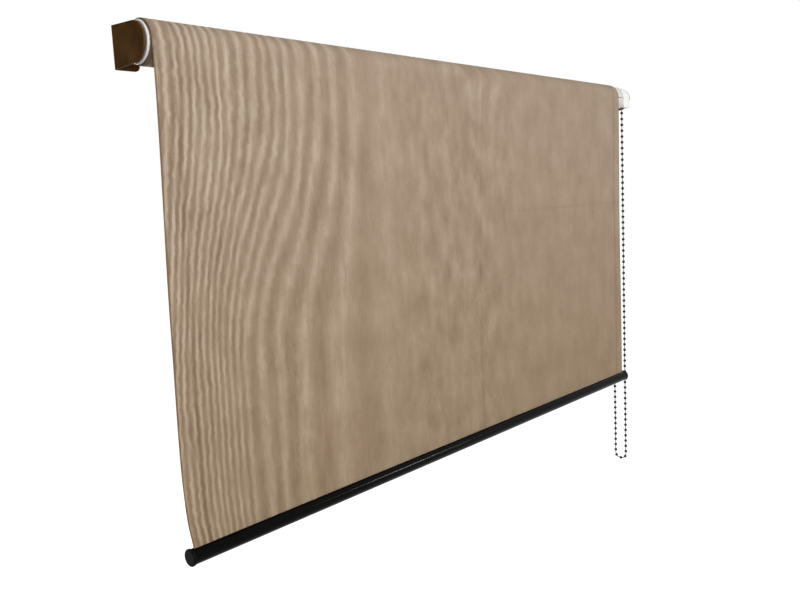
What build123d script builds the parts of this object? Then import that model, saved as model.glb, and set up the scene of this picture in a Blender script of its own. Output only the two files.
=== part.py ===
"""Outdoor roller shade: a mesh curtain on a roller tube, wound by a bead chain and weighted by a round rail.

Frame: +X along the roller towards the chain, +Y into the wall, +Z up. The origin lies on the wall face, in
the middle of the four wall screws and level with the roller axis. All sizes are in millimetres.
"""

import os
from math import cos, pi, radians, sin

from build123d import *

# Driving dimensions: the whole shade
fabric_width = 1200.0
drop = 656.5  # roller axis down to the axis of the bottom rail
axis_reach = 52.0  # wall face out to the roller axis
chain_drop = 864.0  # roller axis down to the centre of the chain's lower turn

# Clearances
overrun = 1.0  # how far a cutter runs past the face that it cuts
running_gap = 0.1  # radial play of a shaft in its bearing
seat_gap = 0.05  # radial play of a fixed fit
rest_gap = 0.3  # between pieces that lie against each other without touching
end_float = 1.5  # between a turning face and the fixed face beside it

# Wall brackets: bent plate that tapers out to a round nose about the roller axis
plate = 3.0
wall_height = 54.0
nose_radius = 25.0
bend_radius = 3.0
flange_corner_radius = 6.0
screw_hole_radius = 3.0
screw_inset = 20.0  # bracket's outer face in to the wall screws
screw_side_margin = 16.0  # wall screws in to the flange's free edge
screw_end_margin = 10.0  # wall screws to the flange's upper and lower edges

# Roller tube: extruded, with a keyhole groove that holds the curtain's top edge
tube_radius = 25.0
tube_wall = 1.5
groove_wall = 1.2
spline_radius = 2.4
tube_margin = 1.0  # curtain's edge to the tube's end on the idle side
bare_end = 29.5  # bare tube between the curtain and the chain side

# Curtain
fabric_thickness = 0.8
turn_gap = 0.3  # air between two turns on the roller
turns = 3
rib_pitch = 12.0
rib_height = 0.3
hem_band = 7.0  # plain cloth from the hem rod's axis up to the ribs

# End fittings in the tube
fitting_wall = 2.5
fitting_flange = 3.0
fitting_lip = 2.0  # how far a fitting's flange stands out past the tube
moulded_edge = 1.0  # chamfer or rounding of a plastic rim
rib_thickness = 2.0
rib_count = 3
plug_length = 32.0
plug_boss_wall = 3.5
pin_radius = 4.0
pin_chamfer = 0.6
bush_wall = 3.0
bush_lip = 3.5
bush_end = 1.0

# Bead chain
bead_diameter = 7.0
bead_pitch = 13.5
cord_radius = 1.0
cord_stub = 1.0  # bare cord past the last bead where the chain is split
chain_sides = 6

# Chain wheel
pocket_count = 6
pocket_wall = 0.45  # pocket's side to the rim
wheel_web = 1.6  # pocket's floor to the bore
wheel_core_lip = 0.5  # how far the core stands out past the beads' centres
wheel_rim = 1.5
wheel_hub_wall = 4.0
wheel_boss_wall = 3.0
dog_width = 6.0
dog_height = 4.0

# Clutch inside the tube
spring_wire = 1.6
spring_coils = 3
coil_gap = 0.8
spring_gap = 10.8  # between the two springs
spring_inset = 10.0  # tube's end in to the nearer spring
spring_room = 8.3  # farther spring to the sleeve's end wall
washer_radius = 11.0
washer_thickness = 1.5
screw_radius = 2.0
screw_length = 14.0
screw_head_radius = 4.5
screw_head = 2.6

# Chain guard and the spindle's base
guard_wall = 1.8
guard_side = 2.0
guard_floor = 2.5
guard_room = 6.4  # round the wheel's rims
floor_room = 1.7  # under the wheel's rims
side_room = 4.25  # beside the wheel's rims
spindle_base = 3.5
base_room = 1.0  # under the spindle's base
rivet_radius = 2.2
rivet_head_radius = 4.2
rivet_head = 1.6

# Bottom rail: slotted tube that the curtain's hem hangs in
rail_radius = 11.0
rail_wall = 1.5
rail_slot = 4.0
hem_rod_radius = 3.0
cap_lip = 1.0
cap_flange = 3.5
cap_edge_radius = 2.0
cap_plug_length = 5.0
cap_room = 1.0  # cap's plug to the curtain's edge

# Chain and wheel
pitch_radius = bead_pitch / (2 * sin(pi / pocket_count))
bead_radius = bead_diameter / 2
link_count = round(chain_drop / bead_pitch)
strand = link_count * bead_pitch
turn_length = pi * pitch_radius
loop_end = 2 * strand + turn_length
pocket_step = 360 / pocket_count
pocket_radius = bead_radius + rest_gap
spindle_radius = pitch_radius - pocket_radius - wheel_web - running_gap
wheel_core_radius = pitch_radius + wheel_core_lip
wheel_core_width = 2 * (pocket_radius + pocket_wall)
wheel_rim_radius = pitch_radius + pocket_radius
wheel_hub_radius = spindle_radius + wheel_hub_wall
dog_radius = wheel_hub_radius + dog_height

# Guard and clutch
guard_bore = wheel_rim_radius + guard_room
guard_radius = guard_bore + guard_wall
guard_floor_drop = wheel_rim_radius + floor_room
guard_bottom = guard_floor_drop + guard_floor
guard_length = 2 * guard_side + wheel_core_width + 2 * wheel_rim + 2 * side_room + spindle_base
spindle_base_radius = guard_floor_drop - base_room
rivet_offset = (spindle_radius + spindle_base_radius) / 2
spring_pitch = spring_wire + coil_gap
coil_length = spring_coils * spring_pitch
spring_spacing = coil_length + spring_gap
sleeve_length = spring_inset + spring_spacing + coil_length + spring_room + fitting_wall

# Places along the roller, from the idle bracket to the chain bracket
axis_y = -axis_reach
tube_length = tube_margin + fabric_width + bare_end
span = tube_length + guard_length + 2 * (plate + end_float + fitting_flange)
idle_face = -span / 2
idle_arm = idle_face + plate
plug_face = idle_arm + end_float
tube_left = plug_face + fitting_flange
fabric_left = tube_left + tube_margin
fabric_right = fabric_left + fabric_width
tube_right = fabric_right + bare_end
guard_left = tube_right + fitting_flange + end_float
chain_arm = guard_left + guard_length
chain_face = chain_arm + plate
base_face = chain_arm - spindle_base
guard_end = base_face - guard_side
chain_x = (guard_left + guard_side + guard_end) / 2
core_left = chain_x - wheel_core_width / 2
core_right = chain_x + wheel_core_width / 2
sleeve_end = tube_right - sleeve_length
spindle_end = sleeve_end - rest_gap
screw_face = spindle_end - washer_thickness

# Brackets and the idle end
wall_flange_width = screw_inset + screw_side_margin
screw_spacing = wall_height - 2 * screw_end_margin
bend_reach = plate + bend_radius
tube_bore = tube_radius - tube_wall
skirt_radius = tube_bore - seat_gap
fitting_radius = tube_radius + fitting_lip
bush_radius = pin_radius + bush_wall

# Wound curtain: half-turn arcs whose two centres lie a quarter pitch to either side of the axis
half_step = (fabric_thickness + turn_gap) / 2
half_turns = 2 * turns
centre_offset = half_step / 2
inner_wind = tube_radius + centre_offset + seat_gap + fabric_thickness
outer_wind = inner_wind + (half_turns - 1) * half_step
wind_front = outer_wind + centre_offset  # roller axis out to the curtain's front face
wind_back = inner_wind - centre_offset  # roller axis out to the inner end of the spiral

# Keyhole groove, at the front of the tube
key_bore = spline_radius + fabric_thickness + 2 * seat_gap
key_depth = tube_bore - key_bore
key_boss = key_bore + groove_wall
key_z = -fabric_thickness / 2
key_at = (-key_depth, key_z)
key_room = key_boss + rest_gap

# Hanging curtain and rail
front_y = axis_y - wind_front
back_y = front_y + fabric_thickness
panel_y = (back_y + front_y - rib_height) / 2
rail_bore = rail_radius - rail_wall
rail_overhang = cap_plug_length + cap_room
rail_left = fabric_left - rail_overhang
rail_right = fabric_right + rail_overhang
loop_bore = hem_rod_radius + seat_gap
loop_radius = loop_bore + fabric_thickness
loop_z = rail_bore - loop_radius - drop
hem_z = loop_z + hem_band
hem_at = (panel_y, loop_z)
rail_at = (panel_y, -drop)


def across(x):
    """Plane square to the roller at x, with its origin on the axis, local x to the wall and local y up."""
    return Plane(origin=(x, axis_y, 0), x_dir=(0, 1, 0), z_dir=(1, 0, 0))


def chain_plane(distance):
    """Plane square to the chain, a distance along its loop: down in front, up behind, over the wheel."""
    lateral = (1, 0, 0)
    front, back = axis_y - pitch_radius, axis_y + pitch_radius
    if distance < strand:
        return Plane(origin=(chain_x, front, -distance), x_dir=lateral, z_dir=(0, 0, -1))
    if distance < strand + turn_length:
        angle = (distance - strand) / pitch_radius
        place = (chain_x, axis_y - pitch_radius * cos(angle), -strand - pitch_radius * sin(angle))
        return Plane(origin=place, x_dir=lateral, z_dir=(0, sin(angle), -cos(angle)))
    if distance < loop_end:
        risen = distance - strand - turn_length
        return Plane(origin=(chain_x, back, risen - strand), x_dir=lateral, z_dir=(0, 0, 1))
    angle = (distance - loop_end) / pitch_radius
    place = (chain_x, axis_y + pitch_radius * cos(angle), pitch_radius * sin(angle))
    return Plane(origin=place, x_dir=lateral, z_dir=(0, -sin(angle), cos(angle)))


def chain_sections(beads):
    """Plane and radius of each section of a stretch of chain: thin cord, swelling at each straight bead."""
    sections = [(chain_plane(beads[0]).offset(-bead_radius - cord_stub), cord_radius)]
    for middle in beads:
        sections.append((chain_plane(middle).offset(-bead_radius), cord_radius))
        sections.append((chain_plane(middle), bead_radius))
        sections.append((chain_plane(middle).offset(bead_radius), cord_radius))
    return sections + [(chain_plane(beads[-1]).offset(bead_radius + cord_stub), cord_radius)]


# Notch that clears the tube's groove in whatever fits inside the tube
with BuildSketch() as key_notch:
    with Locations(key_at):
        Circle(key_room)
    with Locations((-tube_radius, key_z)):
        Rectangle(2 * (tube_radius - key_depth), 2 * key_room)

# Idle and chain brackets
brackets = {}
for name, face, inward in (("idle_bracket", idle_face, 1), ("chain_bracket", chain_face, -1)):
    with BuildPart() as bracket:
        with BuildSketch(Plane.YZ.offset(face)):
            with BuildLine():
                upper = [(0, wall_height / 2), (-bend_reach, wall_height / 2), (axis_y, nose_radius)]
                Polyline(*upper, *[(y, -z) for y, z in reversed(upper)], close=True)
            make_face()
            with Locations((axis_y, 0)):
                Circle(nose_radius)
        extrude(amount=inward * plate)
        with BuildSketch(Plane.XZ):
            with Locations((face + inward * wall_flange_width / 2, 0)):
                Rectangle(wall_flange_width, wall_height)
        extrude(amount=plate)
        upright = bracket.edges().filter_by(Axis.Z)
        fillet(upright.sort_by_distance((face, 0, 0))[0], bend_reach)
        upright = bracket.edges().filter_by(Axis.Z)
        fillet(upright.sort_by_distance((face + inward * plate, -plate, 0))[0], bend_radius)
        free_end = bracket.faces().sort_by(Axis.X)[-1 if inward > 0 else 0]
        fillet(free_end.edges().filter_by(Axis.Y), flange_corner_radius)
        with Locations(Plane.XZ.offset(plate)):
            with Locations((face + inward * screw_inset, 0)):
                with GridLocations(0, screw_spacing, 1, 2):
                    Hole(screw_hole_radius)
        if name == "idle_bracket":
            with Locations(across(face + inward * plate)):
                Hole(bush_radius + seat_gap)
        else:
            with Locations(across(face)):
                with GridLocations(2 * rivet_offset, 0, 2, 1):
                    Hole(rivet_radius + seat_gap)
    brackets[name] = bracket.part

# Idle bush: flanged cup, closed at the bracket's outer face
with BuildPart() as idle_bush:
    with BuildSketch(across(idle_face)):
        Circle(bush_radius)
    extrude(amount=plate)
    with BuildSketch(across(idle_arm)):
        Circle(bush_radius + bush_lip)
    extrude(amount=end_float - rest_gap)
    with BuildSketch(across(idle_face + bush_end)):
        Circle(pin_radius + running_gap)
    extrude(amount=plate + end_float, mode=Mode.SUBTRACT)

# Idle pin: steel stub held in the plug
with BuildPart() as idle_pin:
    with BuildSketch(across(idle_face + bush_end + rest_gap)):
        Circle(pin_radius)
    extrude(amount=tube_left + plug_length - idle_face - bush_end - rest_gap)
    chamfer(idle_pin.edges().filter_by(GeomType.CIRCLE), pin_chamfer)

# Idle plug: flange, slotted skirt and a ribbed boss for the pin
with BuildPart() as idle_plug:
    with BuildSketch(across(plug_face)):
        Circle(fitting_radius)
    extrude(amount=fitting_flange)
    chamfer(idle_plug.edges().filter_by(GeomType.CIRCLE), moulded_edge)
    with BuildSketch(across(tube_left)):
        Circle(skirt_radius)
        Circle(skirt_radius - fitting_wall, mode=Mode.SUBTRACT)
        with PolarLocations((skirt_radius - fitting_wall) / 2, rib_count):
            Rectangle(skirt_radius, rib_thickness)
        Circle(pin_radius + plug_boss_wall)
        add(key_notch.sketch, mode=Mode.SUBTRACT)
    extrude(amount=plug_length)
    with BuildSketch(across(plug_face)):
        Circle(pin_radius + seat_gap)
    extrude(amount=fitting_flange + plug_length, mode=Mode.SUBTRACT)

# Roller tube
with BuildPart() as roller_tube:
    with BuildSketch(across(tube_left)):
        Circle(tube_radius)
        Circle(tube_bore, mode=Mode.SUBTRACT)
        with Locations(key_at):
            Circle(key_boss)
            Circle(key_bore, mode=Mode.SUBTRACT)
        with Locations((-(tube_radius + key_depth) / 2, key_z)):
            Rectangle(tube_radius - key_depth + overrun, fabric_thickness + 2 * rest_gap, mode=Mode.SUBTRACT)
    extrude(amount=tube_length)

# Fabric spline: rod that locks the curtain's top hem in the groove
with BuildPart() as fabric_spline:
    with BuildSketch(across(fabric_left)):
        with Locations(key_at):
            Circle(spline_radius)
    extrude(amount=fabric_width)

# Wound curtain: spiral of half-turn arcs from the front face in to the hem loop in the groove
with BuildPart() as fabric_roll:
    with BuildSketch(across(fabric_left)):
        with BuildLine():
            for turn in range(half_turns):
                side = -1 if turn % 2 == 0 else 1
                radius = outer_wind - turn * half_step
                begin = 180 if turn % 2 == 0 else 0
                for skin in (radius, radius - fabric_thickness):
                    CenterArc((side * centre_offset, 0), skin, begin, -180)
            Line((-wind_front, 0), (-wind_front + fabric_thickness, 0))
            Line((-wind_back, 0), (-wind_back + fabric_thickness, 0))
        make_face()
        with Locations((-(wind_back + key_depth) / 2, key_z)):
            Rectangle(wind_back - key_depth, fabric_thickness)
        with Locations(key_at):
            Circle(spline_radius + seat_gap + fabric_thickness)
            Circle(spline_radius + seat_gap, mode=Mode.SUBTRACT)
    extrude(amount=fabric_width)

# Drive sleeve: keyed in the tube, with slots in its flange for the wheel's dogs
with BuildPart() as drive_sleeve:
    with BuildSketch(across(tube_right)):
        Circle(fitting_radius)
        Circle(wheel_hub_radius + seat_gap, mode=Mode.SUBTRACT)
        Rectangle(2 * (dog_radius + seat_gap), dog_width + 2 * seat_gap, mode=Mode.SUBTRACT)
    extrude(amount=fitting_flange)
    with BuildSketch(across(tube_right)):
        Circle(skirt_radius)
        Circle(skirt_radius - fitting_wall, mode=Mode.SUBTRACT)
        add(key_notch.sketch, mode=Mode.SUBTRACT)
    extrude(amount=-sleeve_length)
    with BuildSketch(across(sleeve_end)):
        Circle(skirt_radius - fitting_wall / 2)
        Circle(spindle_radius + running_gap, mode=Mode.SUBTRACT)
        add(key_notch.sketch, mode=Mode.SUBTRACT)
    extrude(amount=fitting_wall)

# Chain wheel: rims, pocketed core, locating boss and a dogged hub that enters the sleeve
with BuildPart() as chain_wheel:
    for start, end, radius in (
        (core_left - wheel_rim, core_left, wheel_rim_radius),
        (core_left, core_right, wheel_core_radius),
        (core_right, core_right + wheel_rim, wheel_rim_radius),
        (core_right + wheel_rim, guard_end - rest_gap, spindle_radius + wheel_boss_wall),
        (tube_right, core_left - wheel_rim, wheel_hub_radius),
    ):
        with BuildSketch(across(start)):
            Circle(radius)
        extrude(amount=end - start)
    with BuildSketch(across(tube_right)):
        Rectangle(2 * dog_radius, dog_width)
    extrude(amount=fitting_flange)
    with BuildSketch(across(chain_x - pocket_radius)):
        with PolarLocations(pitch_radius, pocket_count, start_angle=pocket_step / 2):
            Circle(pocket_radius)
    extrude(amount=2 * pocket_radius, mode=Mode.SUBTRACT)
    with BuildSketch(across(chain_x - cord_radius - rest_gap)):
        Circle(wheel_core_radius + overrun)
        Circle(pitch_radius - cord_radius - rest_gap, mode=Mode.SUBTRACT)
    extrude(amount=2 * (cord_radius + rest_gap), mode=Mode.SUBTRACT)
    with BuildSketch(across(tube_right)):
        Circle(spindle_radius + running_gap)
    extrude(amount=guard_end - tube_right, mode=Mode.SUBTRACT)

# Clutch springs: wrap springs that grip the spindle inside the sleeve
with BuildPart() as clutch_springs:
    for number in range(2):
        coil_start = tube_right - spring_inset - number * spring_spacing
        coil_radius = spindle_radius + running_gap + spring_wire / 2
        with BuildLine() as coil:
            Helix(spring_pitch, coil_length, coil_radius, (coil_start, axis_y, 0), (-1, 0, 0))
        with BuildSketch(Plane(origin=coil.line @ 0, z_dir=coil.line % 0, x_dir=(1, 0, 0))):
            Rectangle(spring_wire, spring_wire)
        sweep(path=coil.line, is_frenet=True)

# Clutch spindle: fixed stub with a round base against the bracket
with BuildPart() as clutch_spindle:
    with BuildSketch(across(spindle_end)):
        Circle(spindle_radius)
    extrude(amount=base_face - spindle_end)
    with BuildSketch(across(base_face)):
        Circle(spindle_base_radius)
    extrude(amount=spindle_base)
    with Locations(across(chain_arm)):
        with GridLocations(2 * rivet_offset, 0, 2, 1):
            Hole(rivet_radius + seat_gap, spindle_base)
    with BuildSketch(across(spindle_end)):
        Circle(screw_radius + seat_gap)
    extrude(amount=screw_length + overrun, mode=Mode.SUBTRACT)

# Retaining washer and screw on the spindle's inner end
with BuildPart() as retaining_washer:
    with BuildSketch(across(spindle_end)):
        Circle(washer_radius)
        Circle(screw_radius + seat_gap, mode=Mode.SUBTRACT)
    extrude(amount=-washer_thickness)
with BuildPart() as retaining_screw:
    with BuildSketch(across(screw_face)):
        Circle(screw_radius)
    extrude(amount=screw_length)
    with BuildSketch(across(screw_face)):
        Circle(screw_head_radius)
    extrude(amount=-screw_head)

# Spindle rivets
with BuildPart() as spindle_rivets:
    with BuildSketch(across(base_face)):
        with GridLocations(2 * rivet_offset, 0, 2, 1):
            Circle(rivet_radius)
    extrude(amount=spindle_base + plate)
    with BuildSketch(across(chain_face)):
        with GridLocations(2 * rivet_offset, 0, 2, 1):
            Circle(rivet_head_radius)
    extrude(amount=rivet_head)

# Chain guard: arched hood over the wheel, with two guide holes in its floor
with BuildPart() as chain_guard:
    for start, end, radius, foot, mode in (
        (guard_left, chain_arm, guard_radius, guard_bottom, Mode.ADD),
        (guard_left + guard_side, guard_end, guard_bore, guard_floor_drop, Mode.SUBTRACT),
        (base_face, chain_arm, guard_bore, guard_floor_drop, Mode.SUBTRACT),
    ):
        with BuildSketch(across(start)):
            Circle(radius)
            with Locations((0, -radius)):
                Rectangle(2 * radius, 2 * radius, mode=Mode.SUBTRACT)
            with Locations((0, -foot / 2)):
                Rectangle(2 * radius, foot)
        extrude(amount=end - start, mode=mode)
    fillet(chain_guard.faces().sort_by(Axis.X)[0].outer_wire().edges(), moulded_edge)
    with BuildSketch(across(guard_left)):
        Circle(wheel_hub_radius + rest_gap)
    extrude(amount=guard_side, mode=Mode.SUBTRACT)
    with BuildSketch(across(guard_end)):
        Circle(spindle_radius + seat_gap)
    extrude(amount=guard_side, mode=Mode.SUBTRACT)
    with BuildSketch(Plane.XY.offset(-guard_bottom)):
        with Locations((chain_x, axis_y)):
            with GridLocations(0, 2 * pitch_radius, 1, 2):
                Circle(pocket_radius)
    extrude(amount=guard_floor, mode=Mode.SUBTRACT)

# Pull chain: the hanging loop, and the few beads that ride in the wheel's pockets
turn_beads = [radians(pocket_step) * pitch_radius * (2 * place + 1) / 2 for place in range(pocket_count // 2)]
strand_beads = [bead_pitch * (2 * place + 1) / 2 for place in range(1, link_count)]
loop_beads = (
    strand_beads
    + [strand + distance for distance in turn_beads]
    + [loop_end - distance for distance in reversed(strand_beads)]
)
with BuildPart() as pull_chain:
    for plane, radius in chain_sections(loop_beads):
        with BuildSketch(plane):
            RegularPolygon(radius, chain_sides)
    loft(ruled=True)
with BuildPart() as wheel_beads:
    for plane, radius in chain_sections([loop_end + distance for distance in turn_beads]):
        with BuildSketch(plane):
            RegularPolygon(radius, chain_sides)
    loft(ruled=True)

# Hanging curtain: ribbed sheet with a plain band and a hem loop at its foot
with BuildPart() as fabric_panel:
    ribs = round(fabric_width / rib_pitch)
    rib_step = fabric_width / ribs
    with BuildSketch(Plane.XY.offset(hem_z)):
        with BuildLine():
            front = [(fabric_left, front_y)]
            back = [(fabric_left, back_y - rib_height)]
            for rib in range(ribs):
                crest = fabric_left + rib * rib_step + rib_step / 2
                valley = fabric_left + (rib + 1) * rib_step
                front += [(crest, front_y - rib_height), (valley, front_y)]
                back += [(crest, back_y), (valley, back_y - rib_height)]
            Polyline(*front, *reversed(back), close=True)
        make_face()
    extrude(amount=-hem_z)
    with BuildSketch(Plane.YZ.offset(fabric_left)):
        with Locations((panel_y, loop_z + hem_band / 2)):
            Rectangle(fabric_thickness, hem_band)
        with Locations(hem_at):
            Circle(loop_radius)
    extrude(amount=fabric_width)
    with BuildSketch(Plane.YZ.offset(fabric_left)):
        with Locations(hem_at):
            Circle(loop_bore)
    extrude(amount=fabric_width, mode=Mode.SUBTRACT)

# Hem rod
with BuildPart() as hem_rod:
    with BuildSketch(Plane.YZ.offset(fabric_left)):
        with Locations(hem_at):
            Circle(hem_rod_radius)
    extrude(amount=fabric_width)

# Bottom rail
with BuildPart() as bottom_rail:
    with BuildSketch(Plane.YZ.offset(rail_left)):
        with Locations(rail_at):
            Circle(rail_radius)
            Circle(rail_bore, mode=Mode.SUBTRACT)
        with Locations((panel_y, rail_radius - drop)):
            Rectangle(rail_slot, 2 * (rail_wall + overrun), mode=Mode.SUBTRACT)
    extrude(amount=rail_right - rail_left)

# Rail caps: round buttons plugged into the rail's ends
caps = {}
for name, end, outward in (("rail_cap_left", rail_left, -1), ("rail_cap_right", rail_right, 1)):
    with BuildPart() as cap:
        with BuildSketch(Plane.YZ.offset(end)):
            with Locations(rail_at):
                Circle(rail_radius + cap_lip)
        extrude(amount=outward * cap_flange)
        outer_rim = cap.edges().filter_by(GeomType.CIRCLE).sort_by(Axis.X)[-1 if outward > 0 else 0]
        fillet(outer_rim, cap_edge_radius)
        with BuildSketch(Plane.YZ.offset(end)):
            with Locations(rail_at):
                Circle(rail_bore - seat_gap)
        extrude(amount=-outward * cap_plug_length)
    caps[name] = cap.part

pieces = {
    **brackets,
    "idle_bush": idle_bush.part,
    "idle_pin": idle_pin.part,
    "idle_plug": idle_plug.part,
    "roller_tube": roller_tube.part,
    "fabric_spline": fabric_spline.part,
    "fabric_roll": fabric_roll.part,
    "drive_sleeve": drive_sleeve.part,
    "chain_wheel": chain_wheel.part,
    "clutch_springs": clutch_springs.part,
    "clutch_spindle": clutch_spindle.part,
    "retaining_washer": retaining_washer.part,
    "retaining_screw": retaining_screw.part,
    "spindle_rivets": spindle_rivets.part,
    "chain_guard": chain_guard.part,
    "pull_chain": pull_chain.part,
    "wheel_beads": wheel_beads.part,
    "fabric_panel": fabric_panel.part,
    "hem_rod": hem_rod.part,
    "bottom_rail": bottom_rail.part,
    **caps,
}
os.makedirs("parts", exist_ok=True)
for name, part in pieces.items():
    part.label = name
    export_step(part, f"parts/{name}.step")
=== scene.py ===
"""Looks of the outdoor roller shade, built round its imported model.

Sizes are in metres, in the model's frame: +X along the roller to the chain, +Y into the wall, +Z up.
"""

from math import cos, pi, radians, sin

import bmesh
import bpy
from mathutils import Matrix, Vector


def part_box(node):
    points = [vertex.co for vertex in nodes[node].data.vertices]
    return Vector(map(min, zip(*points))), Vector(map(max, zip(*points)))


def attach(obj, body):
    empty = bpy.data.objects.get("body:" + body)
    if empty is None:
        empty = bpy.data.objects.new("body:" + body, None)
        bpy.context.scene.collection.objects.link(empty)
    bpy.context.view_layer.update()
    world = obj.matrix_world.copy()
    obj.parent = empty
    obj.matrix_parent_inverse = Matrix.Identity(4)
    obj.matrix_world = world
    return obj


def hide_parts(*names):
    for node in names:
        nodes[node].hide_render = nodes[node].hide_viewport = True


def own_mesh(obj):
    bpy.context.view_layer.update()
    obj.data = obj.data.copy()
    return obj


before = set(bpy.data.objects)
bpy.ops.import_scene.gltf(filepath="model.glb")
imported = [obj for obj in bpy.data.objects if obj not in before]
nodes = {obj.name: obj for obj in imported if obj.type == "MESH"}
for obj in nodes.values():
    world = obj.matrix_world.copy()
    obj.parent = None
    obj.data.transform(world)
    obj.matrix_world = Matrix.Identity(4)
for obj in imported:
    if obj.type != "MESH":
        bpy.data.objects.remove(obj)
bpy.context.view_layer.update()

# Camera, from the photograph's vanishing lines
CAMERA_AT = Vector((-1.1773, -0.9650, -0.2032))
CAMERA_YAW = radians(47.67)  # from +Y towards +X
CAMERA_PITCH = radians(7.344)  # downwards
CAMERA_ROLL = radians(2.764)
CAMERA_LENS = 36.13  # millimetres
CAMERA_SENSOR = 36.0
CAMERA_REACH = 100.0

# Curtain and roll
AXIS_Y = -0.052
CLOTH = 0.0008
RIBS = 100
RIB_HEIGHT = 0.0003
COLUMNS_A_RIB = 6
CURTAIN_ROWS = 64
HEM_SEGMENTS = 24
WIND_FRONT = 0.02915  # roller axis out to the curtain's front face
TURN_STEP = 0.0011  # one turn of cloth and the air over it
TURNS = 3
STEPS_A_TURN = 48
FLARE = (  # heights, and how far the curtain's left edge is stretched out there
    (0.0, 0.0),
    (-0.05, 0.0),
    (-0.13, 0.0018),
    (-0.22, 0.0044),
    (-0.31, 0.0068),
    (-0.40, 0.0080),
    (-0.50, 0.0098),
    (-0.56, 0.0095),
    (-0.61, 0.0068),
    (-0.64, 0.0022),
    (-0.66, 0.0),
)
FLARE_REACH = 0.25  # how far in from the edge the stretch dies out
SWELL = 0.0016  # slack of the hanging cloth
SWELL_WAVES = ((9.0, 5.0, 0.6), (21.0, 4.0, 0.0))  # radians a metre across and up, and at the middle

rod_low, rod_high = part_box("hem_rod")
LEFT, RIGHT = rod_low.x, rod_high.x
WIDTH = RIGHT - LEFT
LOOP_Z = (rod_low.z + rod_high.z) / 2
LOOP_BORE = (rod_high.z - rod_low.z) / 2 + 0.00005
FRONT_Y = AXIS_Y - WIND_FRONT
MIDDLE_Y = (rod_low.y + rod_high.y) / 2
COLUMNS = RIBS * COLUMNS_A_RIB

# Pattern of the cloth: places across it count from the middle, places along it from the roll, upwards
STREAK_END = 0.17  # the streaks end this far left of the middle
STREAK_CROWD = 85.0  # how fast they crowd together towards the left edge
STREAK_LEAN = 0.10  # how far they drift to the left on their way down
PILLAR_PITCH = 0.003
TAPE_PITCH = 0.0022
CREASE_Z = -0.241  # level crease across the right half
FOLD_X = 0.043  # upright crease near the middle, where it leaves the roll
FOLD_SLANT = 0.05
SEAM_IN = 0.027  # side seams, in from the curtain's edges
SEAM_SOFT = 0.007
TONE_LOW, TONE_HIGH = 0.09, 0.77
CLOTH_COLOURS = (  # places from the lowest tone to the highest, and their colours
    (0.0, (0.225, 0.155, 0.100)),
    (0.5, (0.390, 0.292, 0.210)),
    (1.0, (0.560, 0.455, 0.355)),
)
# Painted shade: the curtain gets darker, and warmer in tint, towards its foot
SHADE_FOOT = -0.65
FOOT_SHADE_TINT = (0.87, 0.82, 0.72)

# Bead chain
CHAIN_X = 0.618
CHAIN_FRONT = -0.0655
CHAIN_BACK = -0.0385
CHAIN_TOP = -0.01575
CHAIN_FOOT = -0.8775
CHAIN_TURN = -0.8505  # as far above the foot as the strands are apart
CORD_DIAMETER = 0.002
BEAD_RADIUS = 0.0035
BEAD_PITCH = 0.0135
FIRST_BEAD = 0.0045  # along the cord from its end
BEAD_SIDES = 16
BEAD_RINGS = 10

# Stage
FLOOR_Z = -1.5
FLOOR_SIZE = 30.0
FLOOR_SHADE = 0.25
FLOOR_GLOW = 0.86  # the floor's own white near the part, added to the light that falls there
FLOOR_NEAR = 1.0  # within this distance the floor shows shadows
FLOOR_FAR = 2.6  # and beyond this one it is as white as the background
WORLD_LEVEL = 0.27
LAMPS = {  # place, where it points, size across, size up, power
    "key": (Vector((-0.9, -2.1, 0.25)), Vector((-0.05, -0.08, 0.05)), 1.4, 1.4, 37.8),
    "strip": (Vector((1.25, -1.45, 0.0)), Vector((0.0, -0.08, -0.65)), 0.30, 0.07, 9.0),
    "back": (Vector((0.4, 2.4, -0.35)), Vector((0.0, -0.08, -0.35)), 1.8, 1.8, 42.0),
}


def add(tree, kind, inputs=None, **settings):
    """Adds a node with its settings; an input gets a value, or a link where a socket is given."""
    node = tree.nodes.new(kind)
    for name, value in settings.items():
        setattr(node, name, value)
    for name, value in (inputs or {}).items():
        if isinstance(value, bpy.types.NodeSocket):
            tree.links.new(value, node.inputs[name])
        else:
            node.inputs[name].default_value = value
    return node


def calc(tree, operation, first, second=0.0):
    """Output of a math node."""
    return add(tree, "ShaderNodeMath", {0: first, 1: second}, operation=operation).outputs[0]


def plus(tree, first, second):
    """Sum of two values."""
    return calc(tree, "ADD", first, second)


def times(tree, first, second):
    """Product of two values."""
    return calc(tree, "MULTIPLY", first, second)


def away_from(tree, value, place):
    """Distance between a value and a place, without its sign."""
    return calc(tree, "ABSOLUTE", calc(tree, "SUBTRACT", value, place))


def ramp(tree, factor, *stops):
    """Colour ramp through (place, colour) stops."""
    node = add(tree, "ShaderNodeValToRGB", {"Fac": factor})
    marks = node.color_ramp.elements
    while len(marks) < len(stops):
        marks.new(1.0)
    for mark, (place, colour) in zip(marks, stops):
        mark.position = place
        mark.color = (*colour, 1.0)
    return node.outputs["Color"]


def span(tree, value, low, high, start, end, form="LINEAR"):
    """Value mapped from low..high to start..end and held there."""
    ends = {"Value": value, "From Min": low, "From Max": high, "To Min": start, "To Max": end}
    return add(tree, "ShaderNodeMapRange", ends, interpolation_type=form).outputs["Result"]


def ease(tree, value, low, high, start, end):
    """Value mapped from low..high to start..end with soft ends."""
    return span(tree, value, low, high, start, end, "SMOOTHSTEP")


def noise(tree, where, scale, detail=2.0):
    """Noise of a given scale, from 0 to 1."""
    settings = {"Vector": where, "Scale": scale, "Detail": detail}
    return add(tree, "ShaderNodeTexNoise", settings).outputs["Fac"]


def drawn_out(tree, where, scale):
    """Places scaled along each axis, which draws a pattern out where the scale is small."""
    return add(tree, "ShaderNodeMapping", {"Vector": where, "Scale": scale}).outputs["Vector"]


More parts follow.
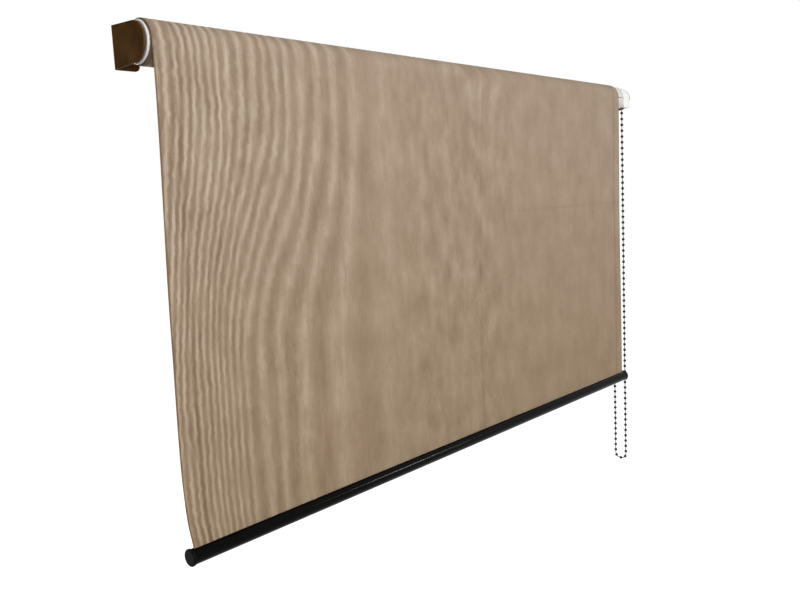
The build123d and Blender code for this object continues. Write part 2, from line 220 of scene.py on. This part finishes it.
def raise_grain(tree, shader, height, distance, strength):
    """Gives a shader a bump from a height."""
    bump = add(tree, "ShaderNodeBump", {"Height": height, "Distance": distance, "Strength": strength})
    tree.links.new(bump.outputs["Normal"], shader.inputs["Normal"])


def shade(colour, factor):
    """A colour made lighter or darker."""
    return tuple(channel * factor for channel in colour)


def new_material(name):
    """Material with a plain Principled shader; gives it, its tree and that shader."""
    material = bpy.data.materials.new(name)
    material.use_nodes = True
    tree = material.node_tree
    return material, tree, tree.nodes["Principled BSDF"]


def finish_like(name, colour, rough, grain, vary=0.12, metal=0.0, gloss=0.5, bump=0.00004, stretch=1.0):
    """Solid finish: mottled colour, uneven roughness and a fine grain, drawn out along X by stretch."""
    material, tree, shader = new_material(name)
    place = add(tree, "ShaderNodeTexCoord").outputs["Object"]
    broad = noise(tree, place, 35.0, 4.0)
    fine = noise(tree, drawn_out(tree, place, (1 / stretch, 1.0, 1.0)), grain, 3.0)
    blend = plus(tree, times(tree, fine, 0.35), times(tree, broad, 0.65))
    colours = ramp(tree, blend, (0.3, shade(colour, 1 - vary)), (0.7, shade(colour, 1 + vary)))
    tree.links.new(colours, shader.inputs["Base Color"])
    uneven = span(tree, fine, 0.25, 0.75, rough * 0.85, min(1.0, rough * 1.15))
    tree.links.new(uneven, shader.inputs["Roughness"])
    raise_grain(tree, shader, fine, bump, 0.6)
    shader.inputs["Metallic"].default_value = metal
    shader.inputs["Specular IOR Level"].default_value = gloss
    return material


def cloth_streaks(tree, across, along, waver, broken):
    """Light and dark streaks down the left half, which crowd together and drift towards its edge."""
    near_edge = span(tree, across, -0.63, -0.52, 0.25, 1.0)
    near_middle = span(tree, across, -0.45, -0.25, 1.0, 0.15)
    loose = calc(tree, "MINIMUM", near_edge, near_middle)
    drift = times(tree, ease(tree, along, -0.42, -0.06, STREAK_LEAN, 0.0), loose)
    shifted = plus(tree, plus(tree, across, STREAK_END), plus(tree, waver, drift))
    leftward = calc(tree, "MINIMUM", shifted, 0.0)
    cycles = times(tree, calc(tree, "POWER", leftward, 2.0), STREAK_CROWD * 2 * pi)
    wave = span(tree, calc(tree, "SINE", cycles), -1.0, 1.0, 0.0, 1.0)
    crest = calc(tree, "SUBTRACT", calc(tree, "POWER", wave, 1.3), 0.37)
    begin = span(tree, leftward, -0.16, 0.0, 1.0, 0.0)
    strength = span(tree, leftward, -0.45, -0.25, 1.5, 0.9)
    return times(tree, times(tree, crest, times(tree, begin, strength)), broken)


def cloth_material():
    """Tan knitted mesh: pillars of stitches, laid-in tape, wavy streaks on the left, painted shade along
    creases and towards the foot, and seams.
    """
    material, tree, shader = new_material("tan_mesh")
    cloth = add(tree, "ShaderNodeUVMap", uv_map="cloth").outputs["UV"]
    parts = add(tree, "ShaderNodeSeparateXYZ", {"Vector": cloth}).outputs
    across, along = parts["X"], parts["Y"]

    # Streaks waver in long waves and small jags, and are broken up along their length
    tall = drawn_out(tree, cloth, (1.0, 0.22, 1.0))
    wander = span(tree, noise(tree, tall, 9.0), 0.2, 0.8, -0.014, 0.014)
    jag = span(tree, noise(tree, cloth, 60.0, 3.0), 0.2, 0.8, -0.0028, 0.0028)
    waver = plus(tree, wander, jag)
    broken = span(tree, noise(tree, tall, 90.0, 4.0), 0.35, 0.65, 0.25, 1.0)
    streak = cloth_streaks(tree, across, along, waver, broken)

    # Pillars of stitches with tape laid in between them
    pillar = calc(tree, "ABSOLUTE", calc(tree, "SINE", times(tree, across, pi / PILLAR_PITCH)))
    tape = calc(tree, "SINE", times(tree, along, 2 * pi / TAPE_PITCH))
    weave = plus(tree, times(tree, pillar, 0.7), times(tree, tape, 0.15))

    # Uneven dye from broad to fine, and worn patches in the middle
    mottle = noise(tree, cloth, 17.0, 5.0)
    bands = noise(tree, tall, 42.0, 3.0)
    yarns = noise(tree, tall, 260.0, 3.0)
    flecks = noise(tree, cloth, 420.0)
    begin = ease(tree, across, -0.32, -0.12, 0.0, 1.0)
    end = ease(tree, across, 0.0, 0.25, 1.0, 0.0)
    worn = noise(tree, drawn_out(tree, cloth, (1.0, 0.5, 1.0)), 38.0, 3.0)
    patches = times(tree, span(tree, worn, 0.3, 0.7, -0.5, 0.5), times(tree, begin, end))

    # Painted shade along a faint level crease on the right and an upright one near the middle, a dark line
    # along the side edges, and side seams
    crease_shade_mask = span(tree, away_from(tree, along, CREASE_Z), 0.0, 0.003, -1.0, 0.0)
    crease_shade = times(tree, crease_shade_mask, span(tree, across, 0.05, 0.2, 0.0, 1.0))
    upright = plus(tree, times(tree, along, FOLD_SLANT), FOLD_X)
    astray = plus(tree, calc(tree, "SUBTRACT", across, upright), waver)
    fold_shade_mask = span(tree, calc(tree, "ABSOLUTE", astray), 0.0, 0.006, -1.0, 0.0)
    fold_shade = times(tree, fold_shade_mask, broken)
    from_left = calc(tree, "SUBTRACT", across, LEFT)
    from_right = calc(tree, "SUBTRACT", RIGHT, across)
    edge = calc(tree, "MINIMUM", from_left, from_right)
    # A dark line along the side edges
    edge_line = span(tree, edge, 0.0006, 0.003, -1.0, 0.0)
    seam = span(tree, away_from(tree, edge, SEAM_IN), 0.0, SEAM_SOFT, -1.0, 0.0)

    weights = (
        (streak, 0.47),
        (weave, 0.10),
        (mottle, 0.30),
        (bands, 0.16),
        (yarns, 0.14),
        (flecks, 0.14),
        (patches, 0.22),
        (crease_shade, 0.06),
        (fold_shade, 0.12),
        (edge_line, 0.5),
        (seam, 0.14),
    )
    tone = 0.0
    for part, weight in weights:
        tone = plus(tree, tone, times(tree, part, weight))
    colours = ramp(tree, span(tree, tone, TONE_LOW, TONE_HIGH, 0.0, 1.0), *CLOTH_COLOURS)
    # Painted shade, darker and warmer towards the foot
    lower = span(tree, along, 0.0, SHADE_FOOT, 0.0, 1.0)
    foot_shade = ramp(tree, lower, (0.0, (1.0, 1.0, 1.0)), (1.0, FOOT_SHADE_TINT))
    foot_shaded = add(tree, "ShaderNodeVectorMath", {0: colours, 1: foot_shade}, operation="MULTIPLY")
    tree.links.new(foot_shaded.outputs["Vector"], shader.inputs["Base Color"])
    raise_grain(tree, shader, plus(tree, weave, times(tree, flecks, 0.4)), 0.0004, 0.5)
    shader.inputs["Roughness"].default_value = 0.85
    shader.inputs["Specular IOR Level"].default_value = 0.2
    shader.inputs["Sheen Weight"].default_value = 0.08
    return material


def dress(piece, material):
    """Gives a piece one material."""
    piece.data.materials.clear()
    piece.data.materials.append(material)
    return piece


def object_from(name, shape):
    """New object from a bmesh, linked to the scene."""
    mesh = bpy.data.meshes.new(name)
    shape.to_mesh(mesh)
    shape.free()
    piece = bpy.data.objects.new(name, mesh)
    bpy.context.scene.collection.objects.link(piece)
    return piece


def add_sheet(shape, columns, rows, outer, inner, cloth_place):
    """Adds a closed thin sheet: two skins by column and row, joined round the edge, with its cloth map."""
    maps = shape.loops.layers.uv
    layer = maps.get("cloth") or maps.new("cloth")

    def skin_of(place):
        return [[shape.verts.new(place(i, j)) for j in range(rows + 1)] for i in range(columns + 1)]

    skins = [skin_of(outer), skin_of(inner)]

    def face(*corners):
        made = shape.faces.new([skins[side][i][j] for side, i, j in corners])
        made.smooth = len({side for side, i, j in corners}) == 1
        if not made.smooth:
            for border in made.edges:
                border.smooth = False
        for loop, (side, i, j) in zip(made.loops, corners):
            loop[layer].uv = cloth_place(i, j)

    for i in range(columns):
        for j in range(rows):
            face((0, i, j), (0, i, j + 1), (0, i + 1, j + 1), (0, i + 1, j))
            face((1, i, j), (1, i + 1, j), (1, i + 1, j + 1), (1, i, j + 1))
        face((0, i, 0), (0, i + 1, 0), (1, i + 1, 0), (1, i, 0))
        face((0, i, rows), (1, i, rows), (1, i + 1, rows), (0, i + 1, rows))
    for j in range(rows):
        face((0, 0, j), (1, 0, j), (1, 0, j + 1), (0, 0, j + 1))
        face((0, columns, j), (0, columns, j + 1), (1, columns, j + 1), (1, columns, j))


def rib(i):
    """Height of the ribs at a column: rounded crests between narrow valleys."""
    return RIB_HEIGHT * abs(sin(pi * i / COLUMNS_A_RIB))


def smooth_curve(points):
    """Function for a smooth curve through (height, value) points from the top down, level at its ends."""
    slopes = [0.0]
    for (above, start), _, (below, end) in zip(points, points[1:], points[2:]):
        slopes.append((end - start) / (below - above))
    slopes.append(0.0)

    def value(z):
        for k, ((upper, start), (lower, end)) in enumerate(zip(points, points[1:])):
            if z >= lower:
                step = lower - upper
                t = (z - upper) / step
                rise = (3 - 2 * t) * t**2
                leave, arrive = t * (1 - t) ** 2, (t - 1) * t**2
                return start + (end - start) * rise + step * (slopes[k] * leave + slopes[k + 1] * arrive)
        return points[-1][1]

    return value


def make_curtain():
    """Hanging curtain: ribbed sheet from the roll down to the loop round the hem rod."""
    foot = LOOP_Z + LOOP_BORE + CLOTH / 2
    flare = smooth_curve(FLARE)

    def place(i, j, y):
        x, z = LEFT + WIDTH * i / COLUMNS, foot * j / CURTAIN_ROWS
        stretch = flare(z) * max(0.0, 1 - (x - LEFT) / FLARE_REACH) ** 2
        slack = SWELL * sin(pi * j / CURTAIN_ROWS) ** 2
        for across, up, start in SWELL_WAVES:
            slack *= sin(across * x + up * z + start)
        return (x - stretch, y + slack, z)

    shape = bmesh.new()
    add_sheet(
        shape,
        COLUMNS,
        CURTAIN_ROWS,
        lambda i, j: place(i, j, FRONT_Y - rib(i)),
        lambda i, j: place(i, j, FRONT_Y + CLOTH - rib(i)),
        lambda i, j: (LEFT + WIDTH * i / COLUMNS, foot * j / CURTAIN_ROWS),
    )

    def ring(i, j, radius):
        turn = 2 * pi * j / HEM_SEGMENTS
        return (LEFT + WIDTH * i, MIDDLE_Y + radius * sin(turn), LOOP_Z + radius * cos(turn))

    add_sheet(
        shape,
        1,
        HEM_SEGMENTS,
        lambda i, j: ring(i, j, LOOP_BORE + CLOTH),
        lambda i, j: ring(i, j, LOOP_BORE),
        lambda i, j: (LEFT + WIDTH * i, foot - LOOP_BORE * 2 * pi * j / HEM_SEGMENTS),
    )
    return object_from("curtain", shape)


def make_roll():
    """Wound curtain: a spiral of cloth, ribbed on its outer turn."""
    shape = bmesh.new()

    def place(x, angle, lift):
        reach = WIND_FRONT - TURN_STEP * angle / (2 * pi) + lift
        return (x, AXIS_Y - reach * cos(angle), reach * sin(angle))

    def wind(columns, start, end, height):
        steps = round((end - start) * STEPS_A_TURN)

        def turned(j):
            return 2 * pi * (end - (end - start) * j / steps)

        add_sheet(
            shape,
            columns,
            steps,
            lambda i, j: place(LEFT + WIDTH * i / columns, turned(j), height(i)),
            lambda i, j: place(LEFT + WIDTH * i / columns, turned(j), height(i) - CLOTH),
            lambda i, j: (LEFT + WIDTH * i / columns, WIND_FRONT * turned(j)),
        )

    wind(COLUMNS, 0.0, 1.0, rib)
    wind(1, 1.0, TURNS, lambda i: 0.0)
    return object_from("wound_curtain", shape)


def make_chain():
    """Cord of the bead chain, down in front of the wheel's axis and up behind it; gives its line too."""
    curve = bpy.data.curves.new("chain_cord", "CURVE")
    curve.dimensions = "3D"
    spline = curve.splines.new("NURBS")
    route = [
        (CHAIN_X, CHAIN_FRONT, CHAIN_TOP),
        (CHAIN_X, CHAIN_FRONT, CHAIN_TURN),
        (CHAIN_X, CHAIN_FRONT, CHAIN_FOOT),
        (CHAIN_X, CHAIN_BACK, CHAIN_FOOT),
        (CHAIN_X, CHAIN_BACK, CHAIN_TURN),
        (CHAIN_X, CHAIN_BACK, CHAIN_TOP),
    ]
    spline.points.add(len(route) - 1)
    for point, place in zip(spline.points, route):
        point.co = (*place, 1.0)
        point.radius = CORD_DIAMETER / 2
    spline.order_u = 3
    spline.use_endpoint_u = True
    spline.resolution_u = 32
    cord = bpy.data.objects.new("chain_cord", curve)
    bpy.context.scene.collection.objects.link(cord)
    bpy.context.view_layer.update()
    drawn = bpy.data.meshes.new_from_object(cord)
    line = [vertex.co.copy() for vertex in drawn.vertices]
    bpy.data.meshes.remove(drawn)
    curve.bevel_depth = 1.0  # times each point's radius
    curve.bevel_resolution = 3
    curve.use_fill_caps = True
    return cord, line


def make_beads(line):
    """Round beads at an even pitch along the cord's line; gives the cord's length too."""
    lengths = [(b - a).length for a, b in zip(line, line[1:])]
    total = sum(lengths)
    count = round((total - 2 * FIRST_BEAD) / BEAD_PITCH)
    pitch = (total - 2 * FIRST_BEAD) / count
    shape = bmesh.new()
    step, passed = 0, 0.0
    for bead in range(count + 1):
        wanted = FIRST_BEAD + bead * pitch
        while step < len(lengths) - 1 and passed + lengths[step] < wanted:
            passed += lengths[step]
            step += 1
        course = line[step + 1] - line[step]
        spot = line[step] + course.normalized() * (wanted - passed)
        turn = course.to_track_quat("Z", "X").to_matrix().to_4x4()
        bmesh.ops.create_uvsphere(
            shape,
            u_segments=BEAD_SIDES,
            v_segments=BEAD_RINGS,
            radius=BEAD_RADIUS,
            matrix=Matrix.Translation(spot) @ turn,
        )
    for face in shape.faces:
        face.smooth = True
    return object_from("chain_beads", shape), total


# Chain first, then the cloth
cord, line = make_chain()
beads, cord_length = make_beads(line)
for piece in (cord, beads):
    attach(piece, "brackets")
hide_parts("pull_chain")

tan_mesh = cloth_material()
roll = dress(make_roll(), tan_mesh)
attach(roll, "roller")
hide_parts("fabric_roll")

curtain = dress(make_curtain(), tan_mesh)
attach(curtain, "rail")
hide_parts("fabric_panel")
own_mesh(curtain)

# Finishes of the CAD parts and the chain
BROWN = (0.128, 0.061, 0.0186)
DULL = dict(rough=0.75, grain=900.0, vary=0.6, gloss=0.02)
brown_paint = finish_like("brown_paint", BROWN, **DULL)
brown_nylon = finish_like("brown_nylon", BROWN, **DULL)
white_plastic = finish_like("white_plastic", (0.95, 0.93, 0.91), 0.4, 900.0, vary=0.02, bump=0.00001)
grey_nylon = finish_like("grey_nylon", (0.28, 0.28, 0.29), 0.55, 500.0)
steel = finish_like("plain_steel", (0.50, 0.50, 0.51), 0.35, 300.0, metal=1.0, bump=0.00001)
tube_finish = finish_like("white_tube", (0.72, 0.71, 0.69), 0.4, 1200.0, vary=0.05, stretch=30.0)
black_paint = finish_like("black_rail", (0.0008, 0.0008, 0.0006), 0.18, 1500.0, vary=0.3, gloss=0.05)
black_plastic = finish_like("black_cap", (0.0045, 0.0045, 0.0042), 0.35, 600.0, vary=0.3, gloss=0.03)
pale_rod = finish_like("pale_rod", (0.58, 0.55, 0.48), 0.6, 400.0, stretch=20.0)
bead_grey = finish_like("bead_grey", (0.022, 0.022, 0.023), 0.35, 700.0, vary=0.25, gloss=0.15)
cord_grey = finish_like("cord_grey", (0.16, 0.16, 0.155), 0.7, 1500.0, vary=0.15)

finishes = {
    brown_paint: ("idle_bracket", "chain_bracket"),
    brown_nylon: ("idle_bush",),
    white_plastic: ("idle_plug", "drive_sleeve", "chain_wheel", "chain_guard"),
    grey_nylon: ("clutch_spindle",),
    steel: ("idle_pin", "clutch_springs", "retaining_washer", "retaining_screw", "spindle_rivets"),
    tube_finish: ("roller_tube",),
    black_paint: ("bottom_rail",),
    black_plastic: ("rail_cap_left", "rail_cap_right"),
    pale_rod: ("fabric_spline", "hem_rod"),
    bead_grey: ("wheel_beads",),
}
for material, names in finishes.items():
    for name in names:
        dress(nodes[name], material)
dress(beads, bead_grey)
dress(cord, cord_grey)


def make_camera():
    """Camera where the photograph was taken from."""
    level = Vector((cos(CAMERA_YAW), -sin(CAMERA_YAW), 0.0))
    ahead = Vector((sin(CAMERA_YAW), cos(CAMERA_YAW), 0.0))
    forward = cos(CAMERA_PITCH) * ahead - Vector((0.0, 0.0, sin(CAMERA_PITCH)))
    down = forward.cross(level)
    right = cos(CAMERA_ROLL) * level + sin(CAMERA_ROLL) * down
    below = cos(CAMERA_ROLL) * down - sin(CAMERA_ROLL) * level
    data = bpy.data.cameras.new("photo_camera")
    data.lens = CAMERA_LENS
    data.sensor_width = CAMERA_SENSOR
    data.clip_end = CAMERA_REACH
    camera = bpy.data.objects.new("photo_camera", data)
    bpy.context.scene.collection.objects.link(camera)
    turn = Matrix((right, -below, -forward)).transposed().to_4x4()
    camera.matrix_world = Matrix.Translation(CAMERA_AT) @ turn
    bpy.context.scene.camera = camera


def seen_directly(tree):
    """1 for rays from the camera, mirrors and glass, else 0."""
    path = add(tree, "ShaderNodeLightPath").outputs
    seen = calc(tree, "MAXIMUM", path["Is Camera Ray"], path["Is Glossy Ray"])
    return calc(tree, "MAXIMUM", seen, path["Is Transmission Ray"])


def make_floor():
    """Plain pale floor that fades to the white of the background."""
    shape = bmesh.new()
    bmesh.ops.create_grid(shape, x_segments=1, y_segments=1, size=FLOOR_SIZE / 2)
    floor = object_from("floor", shape)
    floor.location.z = FLOOR_Z
    material, tree, shader = new_material("pale_floor")
    shader.inputs["Base Color"].default_value = (FLOOR_SHADE, FLOOR_SHADE, FLOOR_SHADE, 1.0)
    shader.inputs["Roughness"].default_value = 0.9
    shader.inputs["Specular IOR Level"].default_value = 0.0
    shader.inputs["Emission Color"].default_value = (1.0, 1.0, 1.0, 1.0)
    place = add(tree, "ShaderNodeTexCoord").outputs["Object"]
    away = add(tree, "ShaderNodeVectorMath", {0: place}, operation="LENGTH").outputs["Value"]
    white = span(tree, away, FLOOR_NEAR, FLOOR_FAR, FLOOR_GLOW, 1.0)
    tree.links.new(times(tree, white, seen_directly(tree)), shader.inputs["Emission Strength"])
    dress(floor, material)


def make_stage():
    """Pale floor, an even white world and three soft lamps."""
    scene = bpy.context.scene
    scene.view_settings.view_transform = "Standard"
    world = bpy.data.worlds.new("white_world")
    scene.world = world
    world.use_nodes = True
    backdrop = world.node_tree.nodes["Background"]
    backdrop.inputs["Color"].default_value = (1.0, 1.0, 1.0, 1.0)
    level = span(world.node_tree, seen_directly(world.node_tree), 0.0, 1.0, WORLD_LEVEL, 1.0)
    world.node_tree.links.new(level, backdrop.inputs["Strength"])
    make_floor()
    for name, (place, aim, across, up, power) in LAMPS.items():
        light = bpy.data.lights.new(name, "AREA")
        light.shape = "RECTANGLE"
        light.size, light.size_y = across, up
        light.energy = power
        lamp = bpy.data.objects.new(name, light)
        lamp.location = place
        lamp.rotation_euler = (aim - place).to_track_quat("-Z", "Y").to_euler()
        scene.collection.objects.link(lamp)


make_camera()
make_stage()
bpy.context.view_layer.update()
